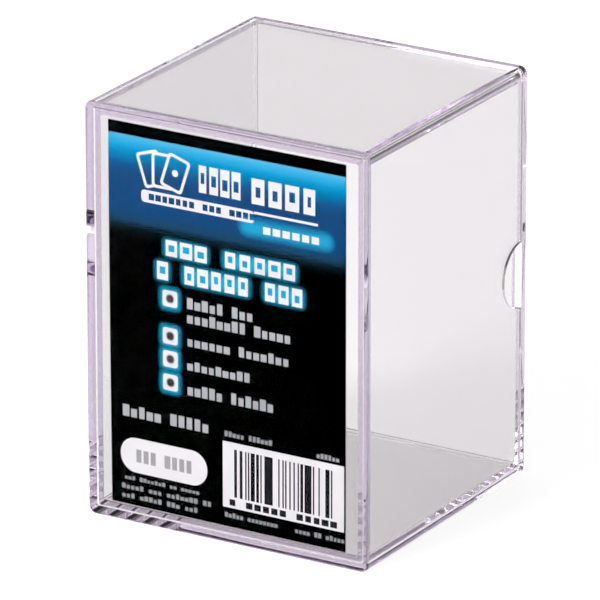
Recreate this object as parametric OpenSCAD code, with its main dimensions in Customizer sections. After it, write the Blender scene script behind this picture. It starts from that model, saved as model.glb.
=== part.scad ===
// Clear two-piece slide-together storage box for a stack of trading cards, with a printed insert.
// X is the width, Y the depth along which the halves slide, Z the height.
// The origin is the centre of the underside, and the insert's print faces -Y.

/* [Cards] */
// Width of one card
card_w = 63.5; // [40:0.5:100]
// Height of one card
card_h = 88.9; // [60:0.1:140]
// Play left for the cards, across the width and up the height
card_play = 3.2; // [1.5:0.1:6]
// Depth inside the closed box, for the insert and the stack
stack_d = 67.4; // [25:0.1:120]

/* [Walls] */
// Side, top and bottom walls of the outer half
outer_wall = 1.7; // [1.3:0.1:3]
// Front wall of the outer half
front_wall = 1.8; // [1.2:0.1:3]
// Side, top and bottom walls of the inner half
inner_wall = 1.5; // [1.2:0.1:3]
// End plate of the inner half, as wide and high as the closed box
end_plate = 2.0; // [1.2:0.1:4]

/* [Fits] */
// Gap between the walls of the two halves, on each side
fit_gap = 0.15; // [0.05:0.05:0.5]
// Seam between the outer half's rim and the end plate
seam_gap = 0.1; // [0.05:0.05:0.5]
// Gap between the inner half's rim and the front wall
rim_gap = 0.3; // [0.2:0.1:3]

/* [Edges] */
// Radius of the four long edges of the closed box
long_edge_r = 2.0; // [1:0.1:3]
// Radius round the front face, and round the back of the end plate
face_edge_r = 0.5; // [0.2:0.1:0.9]
// Radius along the corners of the outer half's cavity
cavity_r = 0.6; // [0.5:0.1:1.2]
// Radius along the corners of the card space
card_space_r = 0.6; // [0.5:0.1:1.2]
// Radius where the walls meet the front wall and the end plate inside
root_r = 0.4; // [0.1:0.1:0.4]
// Radius round the inner half's rim, which leads it into the cavity
lead_in_r = 0.3; // [0.1:0.1:0.5]

/* [Thumb notches] */
// Radius of the half-round notch in each side of the mouth
notch_r = 8; // [4:0.5:15]

/* [Insert] */
// What the printed insert is narrower than a card
insert_trim = 2.0; // [1.5:0.1:20]
// Gap between the insert's left edge and the side of the card space
insert_side_gap = 2.0; // [1.3:0.1:3]
// Thickness of the insert's board
insert_t = 0.35; // [0.2:0.05:0.8]
// Gap under the insert, and between its face and the plane of the inner half's rim
insert_gap = 0.1; // [0.05:0.05:0.3]
// Gap between the insert and the top of the card space
insert_head_gap = 0.7; // [0.3:0.1:20]

/* [Hidden] */
$fn = 96;
over = 1; // how far a cutter runs past the face that it opens

card_space_w = card_w + card_play;
card_space_h = card_h + card_play;
nest_w = card_space_w + 2 * inner_wall;
nest_h = card_space_h + 2 * inner_wall;
nest_r = cavity_r + fit_gap;
cavity_w = nest_w + 2 * fit_gap;
cavity_h = nest_h + 2 * fit_gap;
box_w = cavity_w + 2 * outer_wall;
box_h = cavity_h + 2 * outer_wall;
box_d = front_wall + stack_d + end_plate;

front_y = -box_d / 2;
back_y = box_d / 2;
cavity_y = front_y + front_wall;
rim_y = cavity_y + rim_gap;
plate_y = back_y - end_plate;
mouth_y = plate_y - seam_gap;
mid_z = box_h / 2;
floor_z = mid_z - card_space_h / 2;
insert_w = card_w - insert_trim;
insert_x = insert_side_gap - card_space_w / 2;

// What rounding by e takes off the bottom right corner of a section, the corner being at the origin
module corner_trim(e) {
    difference() {
        translate([-e, 0])
            square(e);
        translate([-e, e])
            circle(e);
    }
}

// Half section of a corner post: r wide, d high, its outer bottom corner rounded by e
module post_section(d, r, e) {
    difference() {
        square([r, d]);
        translate([r, 0])
            corner_trim(e);
    }
}

// Section of a slab: size wide, d high, both bottom corners rounded by e
module slab_section(size, d, e) {
    difference() {
        translate([-size / 2, 0])
            square([size, d]);
        for (side = [0, 1])
            mirror([side, 0])
                translate([size / 2, 0])
                    corner_trim(e);
    }
}

// Upright block, d high: r rounds its four upright edges, e the edge round its bottom
module rounded_block(w, h, d, r, e) {
    rotate([90, 0, 90])
        translate([0, 0, r - w / 2])
            linear_extrude(w - 2 * r)
                slab_section(h, d, e);
    rotate([90, 0, 0])
        translate([0, 0, r - h / 2])
            linear_extrude(h - 2 * r)
                slab_section(w, d, e);
    for (side = [0, 1], end = [0, 1])
        mirror([side, 0, 0])
            mirror([0, end, 0])
                translate([w / 2 - r, h / 2 - r, 0])
                    rotate_extrude(angle = 90)
                        post_section(d, r, e);
}

// Lays an upright block at mid height, its rounded end at y and its length towards the back
module towards_back(y) {
    translate([0, y, mid_z])
        mirror([0, 1, 0])
            rotate([90, 0, 0])
                children();
}

// The same with its length towards the front
module towards_front(y) {
    translate([0, y, mid_z])
        rotate([90, 0, 0])
            children();
}

// Outer half: a front wall and four walls, open at the back, a thumb notch in each side of the mouth
module outer_half() {
    color([0.86, 0.82, 0.88, 0.35])
        difference() {
            towards_back(front_y)
                rounded_block(box_w, box_h, mouth_y - front_y, long_edge_r, face_edge_r);
            towards_back(cavity_y)
                rounded_block(cavity_w, cavity_h, mouth_y - cavity_y + over, cavity_r, root_r);
            translate([0, mouth_y, mid_z])
                rotate([0, 90, 0])
                    cylinder(h = box_w + 2 * over, r = notch_r, center = true);
        }
}

// Inner half: an end plate the size of the closed box, and four walls that nest in the outer half
module inner_half() {
    color([0.84, 0.80, 0.87, 0.35])
        difference() {
            union() {
                towards_front(back_y)
                    rounded_block(box_w, box_h, end_plate, long_edge_r, face_edge_r);
                towards_back(rim_y)
                    rounded_block(nest_w, nest_h, plate_y - rim_y + end_plate / 2, nest_r, lead_in_r);
            }
            towards_front(plate_y)
                rounded_block(card_space_w, card_space_h, plate_y - rim_y + over, card_space_r, root_r);
        }
}

// Printed insert: a board that stands on the inner half's floor, just inside its rim
module printed_insert() {
    color([0.05, 0.05, 0.06])
        translate([insert_x, rim_y + insert_gap, floor_z + insert_gap])
            cube([insert_w, insert_t, card_space_h - insert_gap - insert_head_gap]);
}

outer_half();
inner_half();
printed_insert();
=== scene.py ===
# A clear two-piece storage box for trading cards, with its printed insert
import bpy
import bmesh
from math import radians, sin, cos
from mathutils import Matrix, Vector


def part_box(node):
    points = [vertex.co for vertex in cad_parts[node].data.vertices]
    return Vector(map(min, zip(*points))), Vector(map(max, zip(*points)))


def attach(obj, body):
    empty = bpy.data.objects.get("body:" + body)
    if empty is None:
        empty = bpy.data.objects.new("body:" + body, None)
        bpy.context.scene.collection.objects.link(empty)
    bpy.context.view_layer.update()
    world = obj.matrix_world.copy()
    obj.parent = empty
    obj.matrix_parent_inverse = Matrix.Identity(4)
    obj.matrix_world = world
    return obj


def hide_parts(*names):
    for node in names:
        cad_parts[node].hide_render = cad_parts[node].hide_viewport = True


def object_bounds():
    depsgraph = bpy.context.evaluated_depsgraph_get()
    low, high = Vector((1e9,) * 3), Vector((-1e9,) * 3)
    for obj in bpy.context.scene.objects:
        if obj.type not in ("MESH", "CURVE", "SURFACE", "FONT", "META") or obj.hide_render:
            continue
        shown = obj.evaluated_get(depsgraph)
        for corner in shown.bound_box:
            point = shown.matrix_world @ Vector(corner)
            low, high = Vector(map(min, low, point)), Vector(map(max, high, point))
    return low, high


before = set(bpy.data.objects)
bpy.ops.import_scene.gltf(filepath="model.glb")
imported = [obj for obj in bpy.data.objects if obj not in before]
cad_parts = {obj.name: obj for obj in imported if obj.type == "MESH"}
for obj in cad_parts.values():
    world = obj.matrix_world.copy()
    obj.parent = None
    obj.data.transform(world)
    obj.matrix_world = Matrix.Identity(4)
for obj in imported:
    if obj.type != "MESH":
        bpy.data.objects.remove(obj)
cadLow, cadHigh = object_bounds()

mm = 0.001


def shade(red, green, blue):  # a colour picked on a 0-255 swatch, as Blender's linear values
    channels = [c / 255 for c in (red, green, blue)]
    return [c / 12.92 if c <= 0.04045 else ((c + 0.055) / 1.055) ** 2.4 for c in channels] + [1.0]


def addObject(name, data):
    made = bpy.data.objects.new(name, data)
    bpy.context.scene.collection.objects.link(made)
    return made


def meshFrom(name, shape):  # turns a bmesh into a mesh and frees it
    mesh = bpy.data.meshes.new(name)
    shape.to_mesh(mesh)
    shape.free()
    return mesh


def aim(made, direction):  # turns a camera or a lamp to look along a direction
    made.rotation_mode = "QUATERNION"
    made.rotation_quaternion = direction.to_track_quat("-Z", "Y")


class Wire:  # a node socket that takes part in Python sums
    def __init__(self, desk, socket):
        self.desk, self.socket = desk, socket

    def maths(self, operation, *values):
        return self.desk.node("ShaderNodeMath", dict(operation=operation), dict(enumerate(values)))

    def __add__(self, other): return self.maths("ADD", self, other)
    def __radd__(self, other): return self.maths("ADD", other, self)
    def __sub__(self, other): return self.maths("SUBTRACT", self, other)
    def __rsub__(self, other): return self.maths("SUBTRACT", other, self)
    def __mul__(self, other): return self.maths("MULTIPLY", self, other)
    def __rmul__(self, other): return self.maths("MULTIPLY", other, self)
    def __truediv__(self, other): return self.maths("DIVIDE", self, other)
    def __abs__(self): return self.maths("ABSOLUTE", self)
    def __gt__(self, other): return self.maths("GREATER_THAN", self, other)
    def __lt__(self, other): return self.maths("LESS_THAN", self, other)
    def floor(self): return self.maths("FLOOR", self)
    def most(self, other): return self.maths("MAXIMUM", self, other)
    def power(self, other): return self.maths("POWER", self, other)
    def equals(self, other): return self.maths("COMPARE", self, other, 0.5)
    def kept(self): return self.desk.node("ShaderNodeClamp", {}, {0: self})  # between 0 and 1


class Desk:  # the node tree of one material or world
    def __init__(self, owner):
        owner.use_nodes = True
        self.tree = owner.node_tree
        self.tree.nodes.clear()

    def node(self, kind, settings=None, values=None, out=0):
        made = self.tree.nodes.new(kind)
        for name, setting in (settings or {}).items():
            if name == "stops":
                while len(made.color_ramp.elements) < len(setting):
                    made.color_ramp.elements.new(1.0)
                for element, (place, colour) in zip(made.color_ramp.elements, setting):
                    element.position, element.color = place, colour
            else:
                setattr(made, name, setting)
        for key, value in (values or {}).items():
            if isinstance(value, Wire):
                self.tree.links.new(value.socket, made.inputs[key])
            else:
                made.inputs[key].default_value = value
        return Wire(self, made.outputs[out]) if len(made.outputs) else made

    def mix(self, share, low, high):  # two colours
        return self.node("ShaderNodeMix", dict(data_type="RGBA"), {0: share, 6: low, 7: high}, out=2)

    def noise(self, place, scale, detail=3.0):
        return self.node("ShaderNodeTexNoise", {}, {"Vector": place, "Scale": scale, "Detail": detail})

    def chance(self, number):  # one random value for each whole number
        return self.node("ShaderNodeTexWhiteNoise", dict(noise_dimensions="1D"), {"W": number})

    def place(self):  # where a point is, in metres
        return self.node("ShaderNodeTexCoord", out=3)

    def along(self, vector):  # its x, y and z
        first = self.node("ShaderNodeSeparateXYZ", {}, {0: vector})
        return [Wire(self, socket) for socket in first.socket.node.outputs]

    def bump(self, height, strength, distance):
        return self.node("ShaderNodeBump", {}, {"Height": height, "Strength": strength, "Distance": distance})


camera = dict(around=30.8, above=20.0, away=1.80, lens=477.6, film=36, shift=(-0.0126, -0.0169),
              near=0.01, far=100)  # degrees, metres, and millimetres for the lens


def makeCamera():
    made = addObject("camera", bpy.data.cameras.new("camera"))
    a, e = radians(camera["around"]), radians(camera["above"])
    back = Vector((sin(a) * cos(e), -cos(a) * cos(e), sin(e)))
    made.location = Vector((0, 0, (cadLow.z + cadHigh.z) / 2)) + back * camera["away"]
    aim(made, -back)
    made.data.lens, made.data.sensor_width = camera["lens"], camera["film"]
    made.data.shift_x, made.data.shift_y = camera["shift"]
    made.data.clip_start, made.data.clip_end = camera["near"], camera["far"]
    bpy.context.scene.camera = made


studio = dict(
    skyLow=1.65, skyHigh=0.06, skyReach=0.6, skyTint=(1.0, 0.995, 1.0, 1.0),  # bright low down, dim overhead
    aimAt=(0, 0, 0.05), lamps=(  # name, place in metres, width, watts
        ("keySoftbox", (0.22, 0.28, 1.10), 0.9, 0.3),
        ("frontFill", (-0.45, -1.30, 0.24), 0.8, 26.0),
        ("backFill", (0.40, 1.45, 0.24), 0.8, 4.0)),
    floorReach=6, floorDrop=0.2, floorGlow=0.74, floorRough=0.9, floorShine=0.1, speckle=900.0,
    floorDark=(0.88, 0.88, 0.88, 1), floorPale=(0.92, 0.92, 0.92, 1))


def makeSky():
    world = bpy.data.worlds.new("studio")
    bpy.context.scene.world = world
    desk = Desk(world)
    up = desk.along(desk.node("ShaderNodeTexCoord", out=0))[2]
    fade = (up / studio["skyReach"]).kept()
    strength = studio["skyLow"] + (studio["skyHigh"] - studio["skyLow"]) * fade
    light = desk.node("ShaderNodeBackground", {}, {"Color": studio["skyTint"], "Strength": strength})
    desk.node("ShaderNodeOutputWorld", {}, {"Surface": light})


def makeLamps():
    for name, place, size, watts in studio["lamps"]:
        made = addObject(name, bpy.data.lights.new(name, "AREA"))
        made.data.shape, made.data.size, made.data.energy = "DISK", size, watts
        made.visible_camera = False
        made.location = place
        aim(made, Vector(studio["aimAt"]) - made.location)


def makeFloor():
    shape = bmesh.new()
    bmesh.ops.create_grid(shape, x_segments=8, y_segments=8, size=studio["floorReach"])
    floor = addObject("floor", meshFrom("floor", shape))
    paint = bpy.data.materials.new("paleFloor")
    floor.data.materials.append(paint)
    desk = Desk(paint)
    tone = desk.mix(desk.noise(desk.place(), studio["speckle"]), studio["floorDark"], studio["floorPale"])
    coat = desk.node("ShaderNodeBsdfPrincipled", {}, {
        "Base Color": tone, "Roughness": studio["floorRough"], "Specular IOR Level": studio["floorShine"],
        "Emission Color": (1, 1, 1, 1), "Emission Strength": studio["floorGlow"]})
    desk.node("ShaderNodeOutputMaterial", {}, {"Surface": coat})
    floor.location.z = -studio["floorDrop"] * mm


case = dict(  # millimetres and degrees
    outerWall=1.7, frontWall=1.8, innerWall=1.5, endPlate=2.0, fitGap=0.15, seamGap=0.1,
    longEdge=2.0, faceEdge=0.5, cavityEdge=0.6, cardSpaceEdge=0.6, root=0.4, leadIn=0.3, notch=8.0,
    eased=0.12, arcSteps=14, edgeSteps=6, notchSteps=128, least=0.05, sharp=35)
boxWide, boxHigh = (cadHigh.x - cadLow.x) / mm, (cadHigh.z - cadLow.z) / mm
middleZ = (cadLow.z + cadHigh.z) / 2 / mm
frontY, backY = cadLow.y / mm, cadHigh.y / mm
plateY = backY - case["endPlate"]  # the end plate's inside
mouthY = plateY - case["seamGap"]  # where the outer half ends
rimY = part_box("inner_half")[0].y / mm  # where the inner half's walls end, behind the front wall


def block(inset, corner):  # width, height and corner radius of an outline that lies inset from the box's own
    return boxWide - 2 * inset, boxHigh - 2 * inset, corner


def turned(outline, y, radius, towards):  # rings that round an outline's edge, from its face to its side
    rings = []
    for k in range(case["edgeSteps"] + 1):
        t = radians(90 * k / case["edgeSteps"])
        inset = radius * (1 - sin(t))
        rings.append((outline[0] - 2 * inset, outline[1] - 2 * inset, max(outline[2] - inset, case["least"]),
                      y + towards * radius * (1 - cos(t))))
    return rings


def flared(outline, y, radius, towards):  # rings that ease a hollow's mouth, from its side out to its rim
    rings = []
    for k in range(case["edgeSteps"] + 1):
        t = radians(90 * k / case["edgeSteps"])
        outset = radius * (1 - cos(t))
        rings.append((outline[0] + 2 * outset, outline[1] + 2 * outset, outline[2] + outset,
                      y + towards * radius * (1 - sin(t))))
    return rings


def ringPoints(wide, high, corner, y):
    points = []
    for sideX, sideZ, start in ((1, 1, 0), (-1, 1, 90), (-1, -1, 180), (1, -1, 270)):
        centreX, centreZ = sideX * (wide / 2 - corner), middleZ + sideZ * (high / 2 - corner)
        for k in range(case["arcSteps"] + 1):
            a = radians(start + 90 * k / case["arcSteps"])
            points.append(Vector((centreX + corner * cos(a), y, centreZ + corner * sin(a))) * mm)
    return points


def loft(rings):  # a closed skin through rings, capped at both ends
    shape = bmesh.new()
    rows = [[shape.verts.new(p) for p in ringPoints(*ring)] for ring in rings]
    for near, far in zip(rows, rows[1:]):
        for k in range(len(near)):
            n = (k + 1) % len(near)
            shape.faces.new((near[k], near[n], far[n], far[k]))
    shape.faces.new(rows[0])
    shape.faces.new(rows[-1])
    bmesh.ops.recalc_face_normals(shape, faces=shape.faces)
    return shape


def finishMesh(name, shape, material, body, nodes):
    made = addObject(name, meshFrom(name, shape))
    made.data.materials.append(material)
    made.data.shade_smooth()
    made.data.set_sharp_from_angle(angle=radians(case["sharp"]))
    even = made.modifiers.new("even shading", "WEIGHTED_NORMAL")
    even.keep_sharp, even.weight = True, 100
    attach(made, body)
    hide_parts(*nodes)


def outerHalfRings():
    hull = block(0, case["longEdge"])
    hollow = block(case["outerWall"], case["cavityEdge"])
    rings = turned(hull, frontY, case["faceEdge"], 1)
    rings += turned(hull, mouthY, case["eased"], -1)[::-1]
    rings += flared(hollow, mouthY, case["eased"], -1)[::-1]
    rings += turned(hollow, frontY + case["frontWall"], case["root"], 1)[::-1]
    return rings


def innerHalfRings():
    nestInset = case["outerWall"] + case["fitGap"]
    hull = block(0, case["longEdge"])
    nest = block(nestInset, case["cavityEdge"] + case["fitGap"])
    space = block(nestInset + case["innerWall"], case["cardSpaceEdge"])
    rings = turned(hull, backY, case["faceEdge"], -1)
    rings += turned(hull, plateY, case["eased"], 1)[::-1]
    rings += [(*nest, plateY)]
    rings += turned(nest, rimY, case["leadIn"], 1)[::-1]
    rings += flared(space, rimY, case["eased"], 1)[::-1]
    rings += turned(space, plateY, case["root"], -1)[::-1]
    return rings


def cutNotches(shape):  # a half-round thumb notch in each side of the mouth
    past = 2  # how far the tool runs past each side
    blank = addObject("outerHalfBlank", meshFrom("outerHalfBlank", shape))
    tool = bmesh.new()
    bmesh.ops.create_cone(tool, segments=case["notchSteps"], radius1=case["notch"] * mm,
                          radius2=case["notch"] * mm, depth=(boxWide + 2 * past) * mm, cap_ends=True)
    for v in tool.verts:
        v.co = Vector((v.co.z, v.co.x + mouthY * mm, v.co.y + middleZ * mm))
    bmesh.ops.recalc_face_normals(tool, faces=tool.faces)
    cutter = addObject("notchTool", meshFrom("notchTool", tool))
    cut = blank.modifiers.new("notches", "BOOLEAN")
    cut.object, cut.operation, cut.solver = cutter, "DIFFERENCE", "EXACT"
    bpy.context.view_layer.update()
    result = bpy.data.meshes.new_from_object(blank.evaluated_get(bpy.context.evaluated_depsgraph_get()))
    bpy.data.objects.remove(blank)
    bpy.data.objects.remove(cutter)
    done = bmesh.new()
    done.from_mesh(result)
    return done


plastic = dict(
    face=(0.905, 0.895, 0.899, 1), gleam=(0.02, 0.02, 0.02, 1), bend=1.59,  # what each surface lets through
    tint=(0.74, 0.645, 0.79, 1), density=17.0,  # the faint violet of the solid
    roughLow=0.004, roughHigh=0.02, hazeScale=160.0, hazeRate=3.0, flowScale=22.0, flow=0.05, flowDepth=0.001)


def clearPlastic(name):
    made = bpy.data.materials.new(name)
    desk = Desk(made)
    place = desk.place()
    flow = desk.noise(place, plastic["flowScale"], 1.0)
    haze = desk.noise(place, plastic["hazeScale"], 4.0)
    spread = plastic["roughHigh"] - plastic["roughLow"]
    rough = plastic["roughLow"] + spread * haze.power(plastic["hazeRate"])
    body = desk.node("ShaderNodeBsdfPrincipled", {}, {
        "Base Color": plastic["face"], "Roughness": rough, "IOR": plastic["bend"],
        "Specular Tint": plastic["gleam"], "Transmission Weight": 1.0,
        "Normal": desk.bump(flow, plastic["flow"], plastic["flowDepth"])})
    inside = desk.node("ShaderNodeVolumeAbsorption", {}, {
        "Color": plastic["tint"], "Density": plastic["density"]})
    desk.node("ShaderNodeOutputMaterial", {}, {"Surface": body, "Volume": inside})
    return made


# the artwork is measured in millimetres, right and down from its top left corner
insert = dict(
    edge=0.06, curl=0.4, curlRate=2.5, cutsAcross=24, cutsUp=36, trimmed=0.34, soft=0.10, skin=0.12,
    ink=shade(248, 248, 249), smallInk=shade(205, 208, 212), glow=shade(40, 190, 235),
    dotInk=shade(70, 60, 62), greyInk=shade(120, 122, 128), barInk=shade(38, 38, 42),
    stockDark=shade(226, 224, 219), stockPale=shade(244, 243, 239),
    fibre=2600.0, fibreLift=0.00002, gloss=0.3, bend=1.12,
    bandHigh=32.0, band=(  # down the blue band, as a share of bandHigh
        (0.0, (2, 2, 3)), (0.094, (2, 2, 3)), (0.102, (96, 188, 226)), (0.14, (56, 181, 229)),
        (0.19, (18, 160, 214)), (0.25, (14, 130, 182)), (0.32, (28, 92, 146)), (0.39, (29, 76, 127)),
        (0.64, (27, 75, 126)), (0.72, (30, 71, 104)), (0.765, (22, 38, 48)), (0.82, (2, 2, 3))),
    # greeked lines: left, top, bottom, pitch, letters in each word, luck
    headline=((14.5, 26.1, 29.9, 3.83, [3, 5], 31.0), (12.3, 31.5, 35.8, 3.5, [1, 5, 3], 41.0)),
    headSlots=(0.72, 0.7), headSpread=1.9,
    lines=((20.2, 38.9, 41.5, 1.95, [5, 3], 51.0), (20.2, 42.3, 44.9, 1.95, [8, 5], 61.0),
           (20.2, 48.0, 50.4, 1.92, [6, 7], 71.0), (20.2, 53.9, 56.1, 1.86, [9], 81.0),
           (20.2, 59.4, 62.1, 1.9, [5, 6], 91.0), (3.0, 67.5, 70.3, 2.1, [5, 5], 101.0)),
    smallPrint=((3.4, 84.6, 85.6, 1.0, [3, 7, 2, 5], 121.0), (2.6, 86.7, 87.9, 1.2, [5, 3, 7, 2], 131.0),
                (2.6, 88.9, 90.1, 1.2, [3, 5, 3, 3], 141.0), (30.0, 68.7, 70.0, 1.05, [5, 6], 151.0),
                (54.0, 69.3, 70.5, 1.0, [6], 161.0), (30.0, 88.2, 89.4, 1.0, [5, 8], 171.0),
                (48.4, 88.4, 89.6, 1.0, [4, 2, 5], 181.0)), smallSoft=0.2,
    buttonTops=(38.05, 46.95, 52.45, 58.05), buttonLeft=14.0, button=3.9,
    fan=((-18, -3.1), (0, 0.0), (18, 3.1)),  # the turn and the shift of each card
    barWide=0.36, barShare=0.45)
insertLow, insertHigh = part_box("printed_insert")
insertSize = insertHigh - insertLow


def topmost(masks):  # several masks as one
    whole = masks[0]
    for mask in masks[1:]:
        whole = whole.most(mask)
    return whole


class Print:  # draws plain marks on the board, each a mask from 0 to 1
    def __init__(self, desk, u, v):
        self.desk, self.u, self.v, self.soft = desk, u, v, insert["soft"]

    def span(self, value, low, high, edge):  # 1 between low and high, with soft ends
        return ((high - low) / 2 / edge + 0.5 - abs(value - (low + high) / 2) / edge).kept()

    def bar(self, left, right, top, bottom, edge=None):
        edge = edge or self.soft
        return self.span(self.u, left, right, edge) * self.span(self.v, top, bottom, edge)

    def pill(self, left, right, top, bottom, corner, edge=None, turn=0.0):  # a rounded oblong
        edge = edge or self.soft
        du, dv = self.u - (left + right) / 2, self.v - (top + bottom) / 2
        if turn:
            c, s = cos(radians(turn)), sin(radians(turn))
            du, dv = du * c + dv * s, dv * c - du * s
        outU = (abs(du) - ((right - left) / 2 - corner)).most(0.0)
        outV = (abs(dv) - ((bottom - top) / 2 - corner)).most(0.0)
        reach = (outU * outU + outV * outV).power(0.5)
        return (0.5 + (corner - reach) / edge).kept()

    def words(self, row, capitals=False, edge=None, slot=0.0):
        # a greeked line: one block for each letter, with a dark slot in it where the line is large enough
        left, top, bottom, pitch, counts, seed = row
        edge = edge or self.soft
        cell = (self.u - left) / pitch
        index = cell.floor()
        off = abs(cell - index - 0.5)
        half = 0.33 + 0.09 * self.desk.chance(index + (seed + 0.5))
        across = (0.5 + (half - off) * (pitch / edge)).kept()
        highest = top
        if not capitals:
            highest = top + (bottom - top) * 0.28 * (self.desk.chance(index + (seed + 37.5)) < 0.62)
        rows = (0.5 + (self.v - highest) / edge).kept() * (0.5 + (bottom - self.v) / edge).kept()
        if slot:
            lift = (bottom - top) * (0.42 + 0.16 * self.desk.chance(index + (seed + 71.5)))
            reach = (bottom - top) * 0.2
            rows = rows * (1.0 - (0.5 + (half - slot / pitch - off) * (pitch / edge)).kept()
                           * (0.5 + (reach - abs(self.v - top - lift)) / edge).kept())
        total = sum(counts) + len(counts) - 1
        shown = rows * across * self.bar(left, left + total * pitch, top - 1, bottom + 1, 0.02)
        past = 0
        for count in counts[:-1]:  # the gaps between words
            past += count
            shown = shown * (1.0 - index.equals(float(past)))
            past += 1
        return shown

    def shine(self, row, spread):  # the glow round each word of a line
        at, top, bottom, pitch, counts, seed = row
        glows = []
        for count in counts:
            glows.append(self.pill(at, at + count * pitch, top, bottom, spread / 2, spread))
            at += (count + 1) * pitch
        return topmost(glows)


def drawEmblem(ink):  # a fan of three plain cards, two greeked words, a plate and a rule
    fan = None
    for turn, shift in insert["fan"]:
        card = ink.pill(11.4 + shift, 17.4 + shift, 5.9, 14.3, 0.9, turn=turn)
        inner = ink.pill(12.1 + shift, 16.7 + shift, 6.6, 13.6, 0.5, turn=turn)
        outline = card * (1.0 - inner)
        fan = outline if fan is None else (fan * (1.0 - card)).most(outline)
    pip = ink.pill(16.7, 18.3, 9.3, 10.9, 0.8)
    thin = ink.words((23.2, 7.0, 13.4, 2.9, [4], 3.0), capitals=True, slot=0.5)
    bold = ink.words((36.8, 7.6, 13.6, 4.4, [4], 9.0), capitals=True, slot=1.05)
    plate = ink.pill(8.6, 38.0, 15.3, 18.2, 0.9)
    plateText = ink.words((10.4, 16.0, 17.5, 1.75, [7, 3, 4], 15.0), capitals=True)
    rule = ink.bar(38.0, 54.4, 15.3, 15.9)
    return topmost([fan, pip, thin, bold, plate * (1.0 - plateText), rule])


def drawButtons(ink):  # the square bullets: their faces, their dark middles and their glow
    left, size = insert["buttonLeft"], insert["button"]
    faces, dots, glows = [], [], []
    for top in insert["buttonTops"]:
        faces.append(ink.pill(left, left + size, top, top + size, 0.7))
        dots.append(ink.pill(left + 0.95, left + 2.95, top + 0.95, top + 2.95, 0.9, 0.5))
        glows.append(ink.pill(left - 0.5, left + 4.4, top - 0.5, top + 4.4, 1.0, 1.8))
    return topmost(faces), topmost(dots), topmost(glows)


def drawBarcode(ink, desk):  # random bars over plain blocks, which stand for nothing
    module = ((ink.u - 32.6) / insert["barWide"]).floor()
    stripes = (desk.chance(module + 200.5) > insert["barShare"]) * ink.bar(32.6, 58.5, 72.8, 84.3, 0.05)
    return stripes.most(ink.words((31.0, 84.9, 86.4, 2.2, [1, 5, 5], 211.0), capitals=True))


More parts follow.
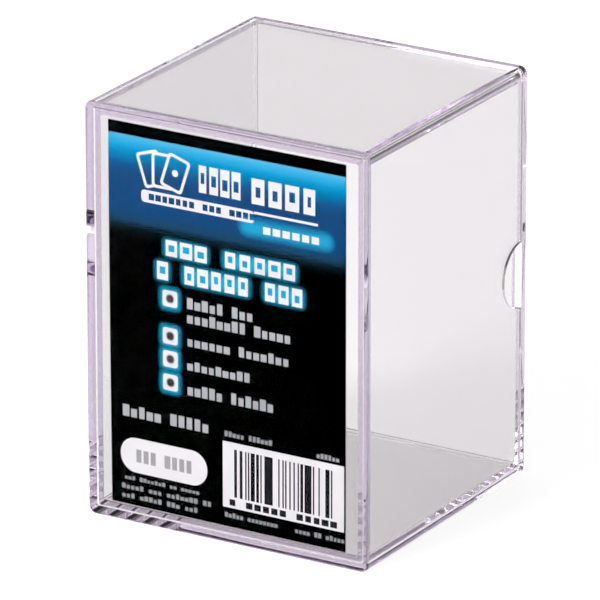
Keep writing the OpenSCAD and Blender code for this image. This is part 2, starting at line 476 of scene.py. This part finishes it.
def printedBoard():
    made = bpy.data.materials.new("printedBoard")
    desk = Desk(made)
    place = desk.place()
    x, y, z = desk.along(place)
    u = (x - insertLow.x) / mm
    v = (insertHigh.z - z) / mm + insert["trimmed"]
    ink = Print(desk, u, v)

    stops = [(at, shade(*swatch)) for at, swatch in insert["band"]]
    colour = desk.node("ShaderNodeValToRGB", {"stops": stops}, {0: v / insert["bandHigh"]})
    emblem = drawEmblem(ink)
    strip = ink.pill(34.5, 58.0, 17.4, 21.0, 1.7, 2.2)
    stripText = ink.words((40.0, 18.5, 20.2, 2.5, [6], 21.0), capitals=True)
    headline = [ink.words(row, capitals=True, slot=slot)
                for row, slot in zip(insert["headline"], insert["headSlots"])]
    headGlow = topmost([ink.shine(row, insert["headSpread"]) for row in insert["headline"]])
    buttons, dots, buttonGlow = drawButtons(ink)
    lines = topmost([ink.words(row) for row in insert["lines"]])
    badge = ink.pill(2.5, 25.5, 75.2, 83.6, 4.1)
    badgeText = ink.words((6.4, 77.9, 81.0, 1.9, [3, 4], 111.0), capitals=True)
    small = topmost([ink.words(row, edge=insert["smallSoft"]) for row in insert["smallPrint"]])
    label = ink.bar(29.6, 61.2, 71.2, 87.0)

    for mask, swatch in (
            ((strip * 0.75 + headGlow * 0.8 + buttonGlow * 0.9).kept(), insert["glow"]),
            ((emblem + stripText + headline[0] + headline[1] + buttons).kept(), insert["ink"]),
            (dots, insert["dotInk"]), ((lines * 0.85 + small * 0.6).kept(), insert["smallInk"]),
            (badge, insert["ink"]), (badgeText * 0.7, insert["greyInk"]), (label, insert["ink"]),
            (drawBarcode(ink, desk), insert["barInk"])):
        colour = desk.mix(mask, colour, swatch)

    fibre = desk.noise(place, insert["fibre"], 4.0)
    stock = desk.mix(fibre, insert["stockDark"], insert["stockPale"])
    away = ((insertHigh.x - x) / insertSize.x).kept() * ((insertHigh.z - z) / insertSize.z).kept()
    lift = away.power(insert["curlRate"]) * insert["curl"]  # the curl takes the printed face back with it
    printed = y / mm < lift + (insertLow.y / mm + insert["skin"])
    body = desk.node("ShaderNodeBsdfPrincipled", {}, {
        "Base Color": desk.mix(printed, stock, colour), "Roughness": 0.55 + 0.15 * fibre,
        "Specular IOR Level": insert["gloss"], "IOR": insert["bend"],
        "Normal": desk.bump(fibre, 0.15, insert["fibreLift"])})
    desk.node("ShaderNodeOutputMaterial", {}, {"Surface": body})
    return made


def boardShape():  # a cut board with slightly eased edges, its bottom left corner curled back
    shape = bmesh.new()
    bmesh.ops.create_cube(shape, size=1)
    centre = (insertHigh + insertLow) / 2
    for vert in shape.verts:
        vert.co = Vector([vert.co[k] * insertSize[k] + centre[k] for k in range(3)])
    bmesh.ops.bevel(shape, geom=shape.edges[:], offset=insert["edge"] * mm, segments=2, profile=0.6,
                    affect="EDGES")
    for axis, count in ((0, insert["cutsAcross"]), (2, insert["cutsUp"])):
        for k in range(1, count):
            spot = Vector(centre)
            spot[axis] = insertLow[axis] + insertSize[axis] * k / count
            cut = Vector((0, 0, 0))
            cut[axis] = 1
            bmesh.ops.bisect_plane(shape, geom=shape.verts[:] + shape.edges[:] + shape.faces[:],
                                   plane_co=spot, plane_no=cut)
    for vert in shape.verts:
        left, down = (insertHigh.x - vert.co.x) / insertSize.x, (insertHigh.z - vert.co.z) / insertSize.z
        vert.co.y += insert["curl"] * mm * (max(left, 0) * max(down, 0)) ** insert["curlRate"]
    bmesh.ops.recalc_face_normals(shape, faces=shape.faces)
    return shape


bounces = 96  # light is piped a long way along the clear walls
scene = bpy.context.scene
scene.view_settings.view_transform = "Standard"
scene.view_settings.use_curve_mapping = True
scene.view_settings.curve_mapping.black_level = (0.016, 0.0155, 0.016)
scene.view_settings.curve_mapping.update()
scene.cycles.max_bounces = bounces
scene.cycles.transmission_bounces = bounces
scene.cycles.glossy_bounces = bounces
scene.cycles.diffuse_bounces = 4
scene.cycles.transparent_max_bounces = 32

makeCamera()
makeSky()
makeLamps()
makeFloor()
print("studio made")

finishMesh("outerHalf", cutNotches(loft(outerHalfRings())), clearPlastic("outerPlastic"),
           "outer", ["outer_half"])
finishMesh("innerHalf", loft(innerHalfRings()), clearPlastic("innerPlastic"),
           "inner", ["inner_half"])
print("clear halves made")
finishMesh("printedInsert", boardShape(), printedBoard(), "insert", ["printed_insert"])
print("insert made")
